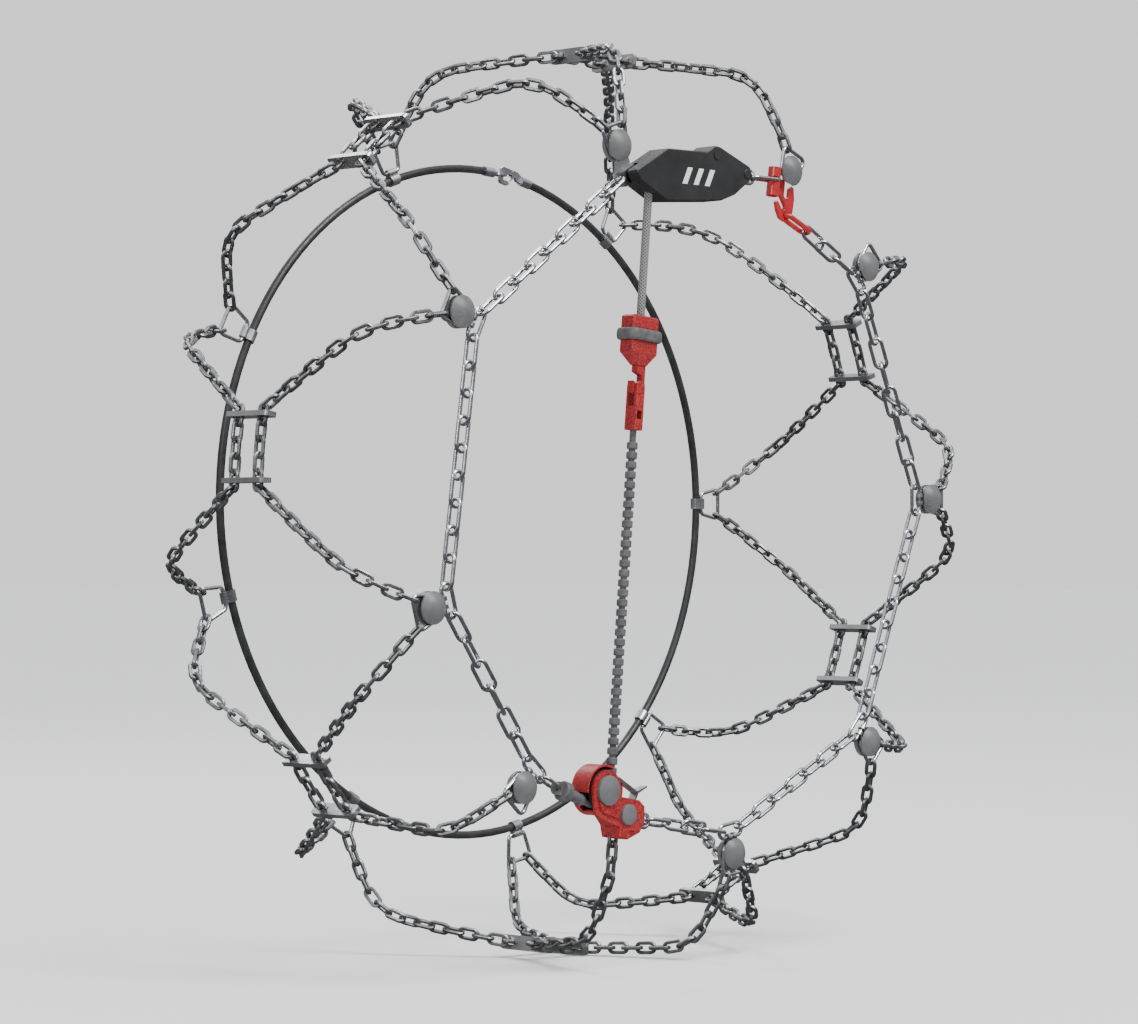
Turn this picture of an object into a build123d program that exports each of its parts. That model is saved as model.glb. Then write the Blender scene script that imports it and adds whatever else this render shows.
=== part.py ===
from build123d import *
from math import acos, asin, atan2, cos, degrees, pi, radians, sin
import os

os.makedirs("parts", exist_ok=True)

# Tyre that the net is made for
tread_radius = 381.5

# Tread chain: squared wire, links lie flat and on edge by turns
tread_wire = 3.1
tread_pitch = 13.7
tread_link_width = 11.2
tread_bevel = 0.7

# Side chain: round wire, longer links
side_wire = 3.4
side_pitch = 24.9
side_link_width = 14.5

# Route of the chain centre over the tyre
joint_slack = 0.45
chain_lift = 6.0
crown_run = 90.0
crown_slope = 2.5
shoulder_bend = 34.0
wall_slope = 66.0
chain_plane = 135.4

# Ladders on the tread
ladder_angles = {"a": 174.5, "b": 217.5, "c": 131.0, "d": 88.0, "e": 263.0, "f": 22.0, "g": 338.5, "h": 297.5}
rung_offset = 14.3
rung_step = 13.2
bar_length = 50.0
bar_height = 12.6
bar_thick = 4.2
bar_corner = 3.0
slot_gap = 0.45

# Connectors on the outer side wall: angle and radius of each bumper
front_nodes = {
    1: (109.0, 307.0),
    2: (67.5, 309.5),
    3: (43.0, 306.0),
    4: (0.5, 313.5),
    5: (316.5, 310.5),
    6: (278.0, 305.0),
    7: (228.0, 316.0),
    8: (196.0, 326.0),
    9: (153.0, 316.0),
}
rear_nodes = {1: 109.5, 2: 55.0, 3: 0.25, 4: 318.0, 5: 280.25, 6: 240.25, 7: 196.0, 8: 152.75}
rear_node_radius = 312.0
ring_wire = 3.5
ring_bend = 4.5
ring_bar_half = 9.5
ring_top_half = 14.5
ring_bar_drop = 7.0
ring_top_rise = 17.5

# Bumper discs
bumper_radius = 13.2
stem_rise = 3.0
dome_height = 8.0
dome_rim = 1.6
backing_thick = 4.4
stem_radius = 3.4
seat_gap = 0.25

# Folded clamps between ring and side chain or rear hoop
sheet = 1.4
eye_gap = 0.3
clamp_width = 10.0
clamp_reach = 7.2
lug_gap = 3.2

# Rear hoop
hoop_core = 4.0
hoop_sheath = 7.0
hoop_gap_angle = 9.0
hoop_gap_centre = 82.0

# Tensioner
roller_centre = (-127.3, -240.3)
strand_plane = 139.0
strand_turn = 14.2
bead_radius = 4.6
bead_neck = 2.8
bead_pitch = 8.15
bead_height = 5.9
drum_radius = 21.0
drum_wall = 1.6
arm_centre = (-103.5, -261.0)

# Line of the elastic cord, pull cap and beaded strand
cord_exit = (-67.0, 247.0)
cord_diameter = 7.0


def polar(radius, angle, y):
    return Vector(radius * cos(radians(angle)), y, radius * sin(radians(angle)))


def profile(run):
    slope0 = radians(crown_slope)
    slope1 = radians(wall_slope)
    y1 = crown_run * cos(slope0)
    r1 = tread_radius + chain_lift - crown_run * sin(slope0)
    bend = shoulder_bend * (slope1 - slope0)
    y2 = y1 + shoulder_bend * (sin(slope1) - sin(slope0))
    r2 = r1 - shoulder_bend * (cos(slope0) - cos(slope1))
    wall = (chain_plane - y2) / cos(slope1)
    if run < crown_run:
        return run * cos(slope0), tread_radius + chain_lift - run * sin(slope0), slope0
    run = run - crown_run
    if run < bend:
        slope = slope0 + run / shoulder_bend
        y = y1 + shoulder_bend * (sin(slope) - sin(slope0))
        return y, r1 - shoulder_bend * (cos(slope0) - cos(slope)), slope
    run = run - bend
    if run < wall:
        return y2 + run * cos(slope1), r2 - run * sin(slope1), slope1
    return chain_plane, r2 - wall * sin(slope1) - (run - wall), pi / 2


def run_at_radius(radius):
    low = crown_run
    high = 260.0
    while high - low > 0.001:
        middle = (low + high) / 2
        if profile(middle)[1] > radius:
            low = middle
        else:
            high = middle
    return low


def surface(angle, run, side):
    y, radius, slope = profile(abs(run))
    point = polar(radius, angle, side * y)
    normal = polar(cos(slope), angle, side * sin(slope))
    return point, normal


def spaced(route, count):
    lengths = [0.0]
    for first, second in zip(route, route[1:]):
        lengths.append(lengths[-1] + (second[0] - first[0]).length)
    stops = []
    index = 0
    for step in range(count + 1):
        target = lengths[-1] * step / count
        while index < len(route) - 2 and lengths[index + 1] < target:
            index = index + 1
        share = (target - lengths[index]) / (lengths[index + 1] - lengths[index])
        share = min(1.0, max(0.0, share))
        point = route[index][0] * (1 - share) + route[index + 1][0] * share
        normal = route[index][1] * (1 - share) + route[index + 1][1] * share
        stops.append((point, normal))
    return stops


def turned_place(start, end, normal, turn):
    along = (end - start).normalized()
    across = along.cross(normal).normalized()
    upright = across.cross(along).normalized()
    face = upright * cos(radians(turn)) + across * sin(radians(turn))
    return Plane(origin=(start + end) * 0.5, x_dir=along, z_dir=face).location


def link_places(route, pitch, first_turn, last_turn, wanted=0):
    total = sum((b[0] - a[0]).length for a, b in zip(route, route[1:]))
    count = wanted or int(total / (pitch - joint_slack)) + 1
    stops = spaced(route, count)
    plain = first_turn + 90 * (count - 1)
    extra = (last_turn - plain + 90) % 180 - 90
    places = []
    for index in range(count):
        turn = first_turn + 90 * index + extra * (index + 1) / count
        normal = stops[index][1] + stops[index + 1][1]
        places.append(turned_place(stops[index][0], stops[index + 1][0], normal, turn))
    return places


def link_loop(pitch, wire, width):
    half = (pitch + wire) / 2 - (width - wire) / 2
    bend = (width - wire) / 2
    with BuildLine() as loop:
        Line((-half, -bend), (half, -bend))
        CenterArc((half, 0), bend, -90, 180)
        Line((half, bend), (-half, bend))
        CenterArc((-half, 0), bend, 90, 180)
    return loop.line


# One tread link
with BuildPart() as tread_link:
    loop = link_loop(tread_pitch, tread_wire, tread_link_width)
    with BuildSketch(Plane(origin=loop @ 0, x_dir=(0, 1, 0), z_dir=(1, 0, 0))):
        Rectangle(tread_wire, tread_wire)
        chamfer(vertices(), tread_bevel)
    sweep(path=Wire(loop.edges()))

# One side link
with BuildPart() as side_link:
    loop = link_loop(side_pitch, side_wire, side_link_width)
    with BuildSketch(Plane(origin=loop @ 0, x_dir=(0, 1, 0), z_dir=(1, 0, 0))):
        Circle(side_wire / 2)
    sweep(path=Wire(loop.edges()))


def node_plane(angle, radius, side):
    along = Vector(-sin(radians(angle)), 0, cos(radians(angle))) * side
    return Plane(origin=polar(radius, angle, side * chain_plane), x_dir=along, z_dir=(0, side, 0))


def front_plane(depth):
    return Plane(origin=(0, -chain_plane - depth, 0), x_dir=(1, 0, 0), z_dir=(0, -1, 0))


def over_tyre(start, finish):
    lift = chain_plane - profile(finish[1] - ring_bend)[0]
    route = []
    for index in range(301):
        share = index / 300
        angle = start[0] * (1 - share) + finish[0] * share
        run = start[1] * (1 - share) + finish[1] * share
        point, normal = surface(angle, run, start[2])
        route.append((point + Vector(0, start[2] * lift * share ** 4, 0), normal))
    return route


def trimmed(route, head, tail):
    lengths = [0.0]
    for first, second in zip(route, route[1:]):
        lengths.append(lengths[-1] + (second[0] - first[0]).length)
    kept = []
    for stop, length in zip(route, lengths):
        if head <= length <= lengths[-1] - tail:
            kept.append(stop)
    return kept


# Lengths that the joints between links are worked out from
tread_overhang = (tread_wire + joint_slack) / 2
side_overhang = (side_wire + joint_slack) / 2
tread_bend = (tread_link_width - tread_wire) / 2
tread_straight = (tread_pitch + tread_wire) / 2 - tread_bend
side_bend = (side_link_width - side_wire) / 2
side_straight = (side_pitch + side_wire) / 2 - side_bend
side_link_drop = ring_bar_drop + clamp_reach + side_bend
ring_lean = (ring_top_half - ring_bar_half) / (ring_top_rise + ring_bar_drop)
ring_corner_rise = ring_top_rise - ring_bend
ring_side = ring_bar_half + ring_lean * (ring_corner_rise + ring_bar_drop)
ring_corner_half = ring_side - ring_bend * (1 + ring_lean ** 2) ** 0.5
crown_radius = tread_radius + chain_lift
rung_turn = degrees(rung_step / crown_radius)
ladder_shift = degrees(tread_straight / crown_radius)

front_planes = {name: node_plane(angle, radius, -1) for name, (angle, radius) in front_nodes.items()}
rear_planes = {name: node_plane(angle, rear_node_radius, 1) for name, angle in rear_nodes.items()}

# The arm that goes to the tensioner ends on this pin
tread_pin = (-106.0, -275.0)
tread_pin_radius = 2.0

# Which connector each corner of each ladder is tied to: front low, front high, rear low, rear high
ladder_ends = {
    "a": (9, 8, 8, 7),
    "b": (8, 7, 7, 6),
    "c": (1, 9, 1, 8),
    "d": (2, 1, 2, 1),
    "e": (0, 6, 6, 5),
    "f": (4, 3, 3, 2),
    "g": (5, 4, 4, 3),
    "h": (6, 5, 5, 4),
}


def arm_places(ladder, side, way, node):
    angle = ladder_angles[ladder] + way * (2 * rung_turn + ladder_shift)
    start = (angle, rung_offset, side)
    if node == 0:
        corner = Vector(tread_pin[0], 0, tread_pin[1])
        tail = tread_overhang - tread_pin_radius - tread_wire / 2 - 0.3
        last_turn = 0
    else:
        planes = front_planes if side < 0 else rear_planes
        corner = planes[node].from_local_coords((-side * way * ring_corner_half, ring_corner_rise, 0))
        tail = ring_bend + tread_overhang - ring_wire / 2 - tread_wire / 2 - joint_slack
        last_turn = 90
    corner_angle = degrees(atan2(corner.Z, corner.X))
    corner_angle = corner_angle + 360 * round((angle - corner_angle) / 360)
    corner_run = run_at_radius(Vector(corner.X, 0, corner.Z).length)
    if tail < 0:
        corner_run = corner_run - tail
        tail = 0
    route = over_tyre(start, (corner_angle, corner_run, side))
    head = tread_bend + tread_overhang - tread_wire - joint_slack
    return link_places(trimmed(route, head, tail), tread_pitch, 90, last_turn)


def rung_places(ladder):
    places = []
    for side in (-1, 1):
        for step in range(-2, 3):
            angle = ladder_angles[ladder] + step * rung_turn
            first, normal = surface(angle - rung_turn / 2, rung_offset, side)
            second, other = surface(angle + rung_turn / 2, rung_offset, side)
            places.append(turned_place(first, second, normal + other, 90 * (step % 2)))
    return places


# Eight tread nets: the rung links of a ladder and the four arms tied to its corners
for ladder, ends in ladder_ends.items():
    places = rung_places(ladder)
    places = places + arm_places(ladder, -1, -1, ends[0])
    places = places + arm_places(ladder, -1, 1, ends[1])
    places = places + arm_places(ladder, 1, -1, ends[2])
    places = places + arm_places(ladder, 1, 1, ends[3])
    with BuildPart() as tread_net:
        with Locations(*places):
            add(tread_link.part)
    tread_net.part.label = "tread_net_" + ladder
    export_step(tread_net.part, "parts/tread_net_" + ladder + ".step")

# One cross bar with its two slots
with BuildPart() as cross_bar:
    with BuildSketch():
        Rectangle(bar_length, bar_height)
        fillet(vertices(), bar_corner)
        with Locations((-rung_offset, 0), (rung_offset, 0)):
            Rectangle(tread_link_width + 2 * slot_gap, tread_wire + 2 * slot_gap, mode=Mode.SUBTRACT)
    extrude(amount=bar_thick / 2, both=True)

# Cross bars of each ladder
for ladder, middle in ladder_angles.items():
    places = []
    for way in (-1, 1):
        angle = middle + way * 2 * rung_turn
        radius = profile(rung_offset)[1]
        along = Vector(-sin(radians(angle)), 0, cos(radians(angle)))
        places.append(Plane(origin=polar(radius, angle, 0), x_dir=(0, 1, 0), z_dir=along).location)
    with BuildPart() as cross_bars:
        with Locations(*places):
            add(cross_bar.part)
    cross_bars.part.label = "cross_bars_" + ladder
    export_step(cross_bars.part, "parts/cross_bars_" + ladder + ".step")

# Wire ring of a connector
with BuildPart() as ring:
    with BuildLine() as ring_route:
        FilletPolyline(
            (-ring_bar_half, -ring_bar_drop),
            (ring_bar_half, -ring_bar_drop),
            (ring_top_half, ring_top_rise),
            (-ring_top_half, ring_top_rise),
            radius=ring_bend,
            close=True,
        )
    with BuildSketch(Plane(origin=ring_route.line @ 0, z_dir=ring_route.line % 0)):
        Circle(ring_wire / 2)
    sweep(path=Wire(ring_route.line.edges()))

front_places = [plane.location for plane in front_planes.values()]
rear_places = [plane.location for plane in rear_planes.values()]

with BuildPart() as front_rings:
    with Locations(*front_places):
        add(ring.part)
front_rings.part.label = "front_rings"
export_step(front_rings.part, "parts/front_rings.step")

with BuildPart() as rear_rings:
    with Locations(*rear_places):
        add(ring.part)
rear_rings.part.label = "rear_rings"
export_step(rear_rings.part, "parts/rear_rings.step")

# Sizes of the folded clamps
ring_eye = ring_wire / 2 + eye_gap
side_eye = side_wire / 2 + eye_gap
hoop_eye = hoop_sheath / 2 + eye_gap
clamp_plane = Plane(origin=(0, 0, 0), x_dir=(0, 1, 0), z_dir=(1, 0, 0))
pocket_half = clamp_width / 2 + eye_gap
pocket_depth = ring_eye + sheet + eye_gap

# Clamp between a front ring and the side chain, with two lugs
with BuildPart() as front_clamp:
    with BuildSketch(clamp_plane):
        with Locations((-ring_bar_drop, 0)):
            Circle(ring_eye + sheet)
        with Locations((-ring_bar_drop - clamp_reach, 0)):
            Circle(side_eye + sheet)
        with Locations((-ring_bar_drop - clamp_reach / 2, 0)):
            Rectangle(clamp_reach, 2 * sheet)
        with Locations((-ring_bar_drop, 0)):
            Circle(ring_eye, mode=Mode.SUBTRACT)
        with Locations((-ring_bar_drop - clamp_reach, 0)):
            Circle(side_eye, mode=Mode.SUBTRACT)
    extrude(amount=clamp_width / 2, both=True)
    with Locations((0, -ring_bar_drop - clamp_reach - 1, 0)):
        Box(lug_gap, 2 * (side_eye + sheet), 12, mode=Mode.SUBTRACT)

with BuildPart() as ring_clamps:
    with Locations(*[front_planes[name].location for name in (3, 4, 5, 6, 7, 8, 9)]):
        add(front_clamp.part)
ring_clamps.part.label = "ring_clamps"
export_step(ring_clamps.part, "parts/ring_clamps.step")

# Bumper: domed cap with a stem, and the backing disc it presses into
with BuildPart() as bumper_cap:
    with BuildSketch(Plane.XZ):
        with BuildLine():
            Line((0, ring_wire / 2 + seat_gap), (bumper_radius, ring_wire / 2 + seat_gap))
            Line((bumper_radius, ring_wire / 2 + seat_gap), (bumper_radius, ring_wire / 2 + dome_rim))
            ThreePointArc(
                (bumper_radius, ring_wire / 2 + dome_rim),
                (bumper_radius * 0.72, ring_wire / 2 + dome_rim + (dome_height - dome_rim) * 0.52),
                (0, ring_wire / 2 + dome_height),
            )
            Line((0, ring_wire / 2 + dome_height), (0, ring_wire / 2 + seat_gap))
        make_face()
    revolve(axis=Axis.Z)
    with Locations((0, stem_rise, 0)):
        Cylinder(stem_radius, 2 * (ring_wire / 2 + seat_gap + 1.6))
    with Locations((0, pocket_depth - ring_bar_drop - 10, 0)):
        Box(2 * pocket_half, 20, 2 * pocket_depth, mode=Mode.SUBTRACT)

with BuildPart() as bumper_backing:
    with Locations((0, 0, -ring_wire / 2 - seat_gap - backing_thick / 2)):
        Cylinder(bumper_radius, backing_thick)
    chamfer(bumper_backing.faces().sort_by(Axis.Z)[0].edges(), 1.0)
    with Locations((0, stem_rise, -ring_wire / 2 - seat_gap)):
        Cylinder(stem_radius + 0.05, 2 * 1.7, mode=Mode.SUBTRACT)
    with Locations((0, pocket_depth - ring_bar_drop - 10, 0)):
        Box(2 * pocket_half, 20, 2 * pocket_depth, mode=Mode.SUBTRACT)

with BuildPart() as bumper_caps:
    with Locations(*front_places):
        add(bumper_cap.part)
bumper_caps.part.label = "bumper_caps"
export_step(bumper_caps.part, "parts/bumper_caps.step")

# At connector 2 the hook leaves room only for a small washer
with BuildPart() as stem_washer:
    with Locations((0, stem_rise, -ring_wire / 2 - seat_gap - 1.1)):
        Cylinder(stem_radius + 1.4, 2.2)
        Cylinder(stem_radius + 0.05, 2.3, mode=Mode.SUBTRACT)

with BuildPart() as bumper_backings:
    with Locations(*[front_planes[name].location for name in front_nodes if name != 2]):
        add(bumper_backing.part)
    with Locations(front_planes[2].location):
        add(stem_washer.part)
bumper_backings.part.label = "bumper_backings"
export_step(bumper_backings.part, "parts/bumper_backings.step")

# Clamp between a rear ring and the hoop
hoop_reach = ring_eye + hoop_eye + 1.0
with BuildPart() as rear_clamp:
    with BuildSketch(clamp_plane):
        with Locations((-ring_bar_drop, 0)):
            Circle(ring_eye + sheet)
        with Locations((-ring_bar_drop - hoop_reach, 0)):
            Circle(hoop_eye + sheet)
        with Locations((-ring_bar_drop - hoop_reach / 2, 0)):
            Rectangle(hoop_reach, 2 * sheet)
        with Locations((-ring_bar_drop, 0)):
            Circle(ring_eye, mode=Mode.SUBTRACT)
        with Locations((-ring_bar_drop - hoop_reach, 0)):
            Circle(hoop_eye, mode=Mode.SUBTRACT)
    extrude(amount=clamp_width / 2, both=True)

with BuildPart() as hoop_clamps:
    with Locations(*rear_places):
        add(rear_clamp.part)
hoop_clamps.part.label = "hoop_clamps"
export_step(hoop_clamps.part, "parts/hoop_clamps.step")

# Rear hoop: steel core in a sheath, open at the closing gap
hoop_radius = rear_node_radius - ring_bar_drop - hoop_reach
hoop_start = hoop_gap_centre + hoop_gap_angle / 2
hoop_sweep = 360 - hoop_gap_angle
hoop_plane = Plane(origin=(0, chain_plane, 0), x_dir=(1, 0, 0), z_dir=(0, -1, 0))


def hoop_arc(start, extent):
    with BuildLine(hoop_plane) as arc:
        CenterArc((0, 0), hoop_radius, start, extent)
    return arc.line


with BuildPart() as hoop_sheathing:
    arc = hoop_arc(hoop_start + 1.5, hoop_sweep - 3.0)
    with BuildSketch(Plane(origin=arc @ 0, z_dir=arc % 0)):
        Circle(hoop_sheath / 2)
        Circle(hoop_core / 2 + 0.05, mode=Mode.SUBTRACT)
    sweep(path=Wire(arc.edges()))
hoop_sheathing.part.label = "hoop_sheath"
export_step(hoop_sheathing.part, "parts/hoop_sheath.step")

with BuildPart() as hoop_cable:
    arc = hoop_arc(hoop_start, hoop_sweep)
    with BuildSketch(Plane(origin=arc @ 0, z_dir=arc % 0)):
        Circle(hoop_core / 2)
    sweep(path=Wire(arc.edges()))
hoop_cable.part.label = "hoop_cable"
export_step(hoop_cable.part, "parts/hoop_cable.step")

# Side chain: joints, runs and the flat link held at each connector
side_joint_trim = side_bend + side_overhang - side_wire - joint_slack
front_normal = Vector(0, -1, 0)


def side_run(start, finish, head, tail, first_turn, last_turn):
    away = (finish - start).normalized()
    first = start + away * head
    last = finish - away * tail
    return link_places([(first, front_normal), (last, front_normal)], side_pitch, first_turn, last_turn)


def link_arc(name, way):
    return front_planes[name].from_local_coords((way * side_straight, -side_link_drop, 0))


def held_link(name):
    middle = front_planes[name].from_local_coords((0, -side_link_drop, 0))
    return Plane(origin=middle, x_dir=front_planes[name].x_dir, z_dir=front_normal).location


def flat_point(point, depth=0.0):
    return Vector(point[0], -chain_plane - depth, point[1])


bracket_hole = flat_point((-96.0, 262.5))
ring_pin = flat_point((-87.0, -266.0))
ring_pin_radius = 2.0
plate_pin = flat_point((46.0, 276.5))
hook_neck = flat_point((97.5, 276.5))
hook_tilt = 8.6

# Flat link on the tensioner pin, pulled toward connector 6
pin_reach = (side_pitch + side_wire) / 2 - ring_pin_radius - side_wire / 2 - 0.3
ring_way = (link_arc(6, 1) - ring_pin).normalized()
pin_link = Plane(origin=ring_pin + ring_way * pin_reach, x_dir=ring_way, z_dir=front_normal).location
pin_link_arc = ring_pin + ring_way * (pin_reach + side_straight)

# Coated link between the hook and the side chain
red_wire = 4.6
red_width = 15.0
hook_way = Vector(cos(radians(hook_tilt)), 0, -sin(radians(hook_tilt)))
hook_plane = Plane(origin=hook_neck, x_dir=hook_way, z_dir=front_normal)
hook_back = -6.0
hook_sheet = 3.0
hook_hole = (22.8, -26.0)
red_start = hook_plane.from_local_coords((hook_hole[0], hook_hole[1], hook_back + hook_sheet / 2))
red_way = (link_arc(3, -1) - red_start).normalized()
red_end = red_start + red_way * (side_pitch + red_wire)
red_end = Vector(red_end.X, -chain_plane, red_end.Z)
red_reach = (red_end - red_start).length
red_hook_on = side_overhang - red_wire / 2 - side_wire / 2 - joint_slack

runs = {
    1: side_run(bracket_hole, link_arc(9, 1), side_overhang, side_joint_trim, 90, 90) + [held_link(9)],
    2: side_run(link_arc(9, -1), link_arc(8, 1), side_joint_trim, side_joint_trim, 90, 90) + [held_link(8)],
    3: side_run(link_arc(8, -1), link_arc(7, 1), side_joint_trim, side_joint_trim, 90, 90) + [held_link(7)],
    4: [pin_link] + side_run(pin_link_arc, link_arc(6, 1), side_joint_trim, side_joint_trim, 90, 90),
    5: [held_link(6)] + side_run(link_arc(6, -1), link_arc(5, 1), side_joint_trim, side_joint_trim, 90, 90),
    6: [held_link(5)] + side_run(link_arc(5, -1), link_arc(4, 1), side_joint_trim, side_joint_trim, 90, 90),
    7: [held_link(4)] + side_run(link_arc(4, -1), link_arc(3, 1), side_joint_trim, side_joint_trim, 90, 90),
    8: [held_link(3)] + side_run(link_arc(3, -1), red_end, side_joint_trim, red_hook_on, 90, 0),
}
for name, places in runs.items():
    with BuildPart() as side_chain:
        with Locations(*places):
            add(side_link.part)
    side_chain.part.label = "side_chain_" + str(name)
    export_step(side_chain.part, "parts/side_chain_" + str(name) + ".step")

# Coated link
with BuildPart() as red_blank:
    loop = link_loop(red_reach - red_wire, red_wire, red_width)
    with BuildSketch(Plane(origin=loop @ 0, x_dir=(0, 1, 0), z_dir=(1, 0, 0))):
        Circle(red_wire / 2)
    sweep(path=Wire(loop.edges()))
with BuildPart() as coated_link:
    with Locations(turned_place(red_start, red_end, front_normal, 90)):
        add(red_blank.part)
coated_link.part.label = "coated_link"
export_step(coated_link.part, "parts/coated_link.step")

# Links at the plate: a flat one on the plate pin and the long closing link on edge
plate_reach = (side_pitch + side_wire) / 2 - ring_pin_radius - side_wire / 2 - 0.3
plate_link_middle = plate_pin + Vector(plate_reach, 0, 0)
with BuildPart() as plate_link:
    with Locations(Plane(origin=plate_link_middle, x_dir=(1, 0, 0), z_dir=front_normal).location):
        add(side_link.part)
plate_link.part.label = "plate_link"
export_step(plate_link.part, "parts/plate_link.step")

neck_radius = 3.0
closing_start = plate_link_middle + Vector((side_pitch + side_wire) / 2 - side_wire - joint_slack, 0, 0)
closing_end = hook_neck + Vector(neck_radius + side_wire / 2 + 0.3, 0, 0)
with BuildPart() as closing_blank:
    loop = link_loop((closing_end - closing_start).length - side_wire, side_wire, side_link_width)
    with BuildSketch(Plane(origin=loop @ 0, x_dir=(0, 1, 0), z_dir=(1, 0, 0))):
        Circle(side_wire / 2)
    sweep(path=Wire(loop.edges()))
closing_middle = (closing_start + closing_end) * 0.5
with BuildPart() as closing_link:
    with Locations(Plane(origin=closing_middle, x_dir=(1, 0, 0), z_dir=(0, 0, 1)).location):
        add(closing_blank.part)
closing_link.part.label = "closing_link"
export_step(closing_link.part, "parts/closing_link.step")

# Closing hook: sheet with a rolled barrel, a slot with two horns and a bent finger
barrel_radius = 5.6
neck_gap = 2.3
barrel_up = 11.0
barrel_down = 14.0
with BuildPart() as closing_hook:
    with BuildSketch(hook_plane.offset(hook_back)):
        with BuildLine():
            Polyline(
                (0, -3.4), (14.5, -3.4), (14.2, 4.0), (18.4, 4.6), (19.1, 1.0), (19.1, -8.3),
            )
            ThreePointArc((19.1, -8.3), (22.1, -11.3), (25.1, -8.3))
            Polyline(
                (25.1, -8.3), (25.1, -2.0), (28.5, 1.0), (31.2, -0.5), (33.2, -10.0), (32.6, -21.5),
                (29.5, -27.5), (23.0, -31.5), (16.5, -30.0), (11.8, -24.0), (9.0, -17.0), (10.2, -15.2),
                (12.6, -15.6), (18.6, -21.6), (21.4, -21.2), (21.6, -18.4), (13.4, -9.6), (9.0, -13.0),
                (0, -13.0), (0, -3.4),
            )
        make_face()
    extrude(amount=hook_sheet)
    chamfer(closing_hook.faces().sort_by(Axis.Y)[0].edges(), 0.5)
    barrel_plane = Plane(origin=hook_neck, x_dir=hook_plane.x_dir, z_dir=hook_plane.y_dir)
    with BuildSketch(barrel_plane.offset(-barrel_down)):
        Circle(barrel_radius)
    extrude(amount=barrel_down - neck_gap)
    with BuildSketch(barrel_plane.offset(neck_gap)):
        Circle(barrel_radius)
    extrude(amount=barrel_up - neck_gap)
    with BuildSketch(barrel_plane.offset(-neck_gap - 1)):
        Circle(neck_radius)
    extrude(amount=2 * neck_gap + 2)
    with BuildSketch(barrel_plane.offset(-barrel_down)):
        Circle(barrel_radius - 1.7)
    extrude(amount=barrel_down - neck_gap - 2.5, mode=Mode.SUBTRACT)
    bar_two_plane = front_planes[2]
    eye_middle = bar_two_plane.from_local_coords((0, -ring_bar_drop, 0))
    eye_plane = Plane(origin=eye_middle, x_dir=bar_two_plane.y_dir, z_dir=bar_two_plane.x_dir)
    with BuildSketch(eye_plane.offset(-3.2)):
        Circle(ring_eye + sheet)
    extrude(amount=6.4)
    with BuildSketch(eye_plane.offset(-8)):
        Circle(ring_eye)
    extrude(amount=16, mode=Mode.SUBTRACT)
    with BuildSketch(hook_plane.offset(hook_back - 1)):
        with Locations(hook_hole):
            Circle(red_wire / 2 + 0.5)
    extrude(amount=hook_sheet + 2, mode=Mode.SUBTRACT)
closing_hook.part.label = "closing_hook"
export_step(closing_hook.part, "parts/closing_hook.step")

# Bracket at the first connector: eye for the ring, hole for the side chain, toothed tail in the plate
bracket_sheet = 3.0
tooth_pitch = 4.0
with BuildPart() as bracket:
    with BuildSketch(front_plane(-bracket_sheet / 2)):
        with BuildLine():
            Polyline(
                (-102.4, 280.6), (-103.2, 262.0), (-99.0, 255.6), (-90.5, 256.5), (-86.0, 265.0),
                (-20.0, 265.0), (-20.0, 273.0), (-62.0, 273.0), (-66.0, 275.5), (-86.0, 275.5),
                (-89.8, 284.6), (-102.4, 280.6),
            )
        make_face()
        for index in range(10):
            left = -61.0 + tooth_pitch * index
            with BuildLine():
                Polyline((left, 272.9), (left, 275.5), (left + tooth_pitch - 0.6, 272.9), (left, 272.9))
            make_face()
    extrude(amount=bracket_sheet)
    eye_middle = front_planes[1].from_local_coords((0, -ring_bar_drop, 0))
    eye_plane = Plane(origin=eye_middle, x_dir=front_planes[1].y_dir, z_dir=front_planes[1].x_dir)
    with BuildSketch(eye_plane.offset(-clamp_width / 2)):
        Circle(ring_eye + sheet)
    extrude(amount=clamp_width)
    with BuildSketch(eye_plane.offset(-9)):
        Circle(ring_eye)
    extrude(amount=18, mode=Mode.SUBTRACT)
    notch_plane = Plane(origin=eye_middle, x_dir=front_planes[1].x_dir, z_dir=front_normal)
    with BuildSketch(notch_plane.offset(-6)):
        with Locations((-2.2, 3.4), (2.2, 3.4)):
            Circle(1.2)
    extrude(amount=12, mode=Mode.SUBTRACT)
    with BuildSketch(front_plane(-4)):
        with Locations((-96.0, 262.5)):
            Circle(side_wire / 2 + 1.5)
    extrude(amount=8, mode=Mode.SUBTRACT)
bracket.part.label = "bracket"
export_step(bracket.part, "parts/bracket.step")

# Plate housing: base shell and cover shell around the bracket tail
plate_outline = [
    (-93.0, 269.0), (-54.0, 290.5), (-5.0, 291.5), (5.0, 297.5), (12.0, 297.0), (50.0, 283.0),
    (55.0, 274.5), (31.0, 258.0), (13.0, 251.5), (-55.0, 246.5), (-87.0, 261.0),
]
plate_back = -6.4
plate_part_line = 3.2
plate_front = 14.6
plate_wall = 2.2
plate_round = 3.0
cover_gap = 0.1
pin_spots = [(7.5, 290.0), (46.0, 276.5)]
pin_radius = 2.5
pawl_pivot = (-14.0, 283.5)


def plate_block(low, high):
    with BuildPart() as block:
        with BuildSketch(front_plane(low)):
            Polygon(*plate_outline, align=None)
            fillet(vertices(), plate_round)
        extrude(amount=high - low)
    return block.part


def plate_room(low, high):
    with BuildPart() as room:
        with BuildSketch(front_plane(low)):
            Polygon(*plate_outline, align=None)
            fillet(vertices(), plate_round)
            offset(amount=-plate_wall, mode=Mode.REPLACE)
        extrude(amount=high - low)
    return room.part


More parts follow.
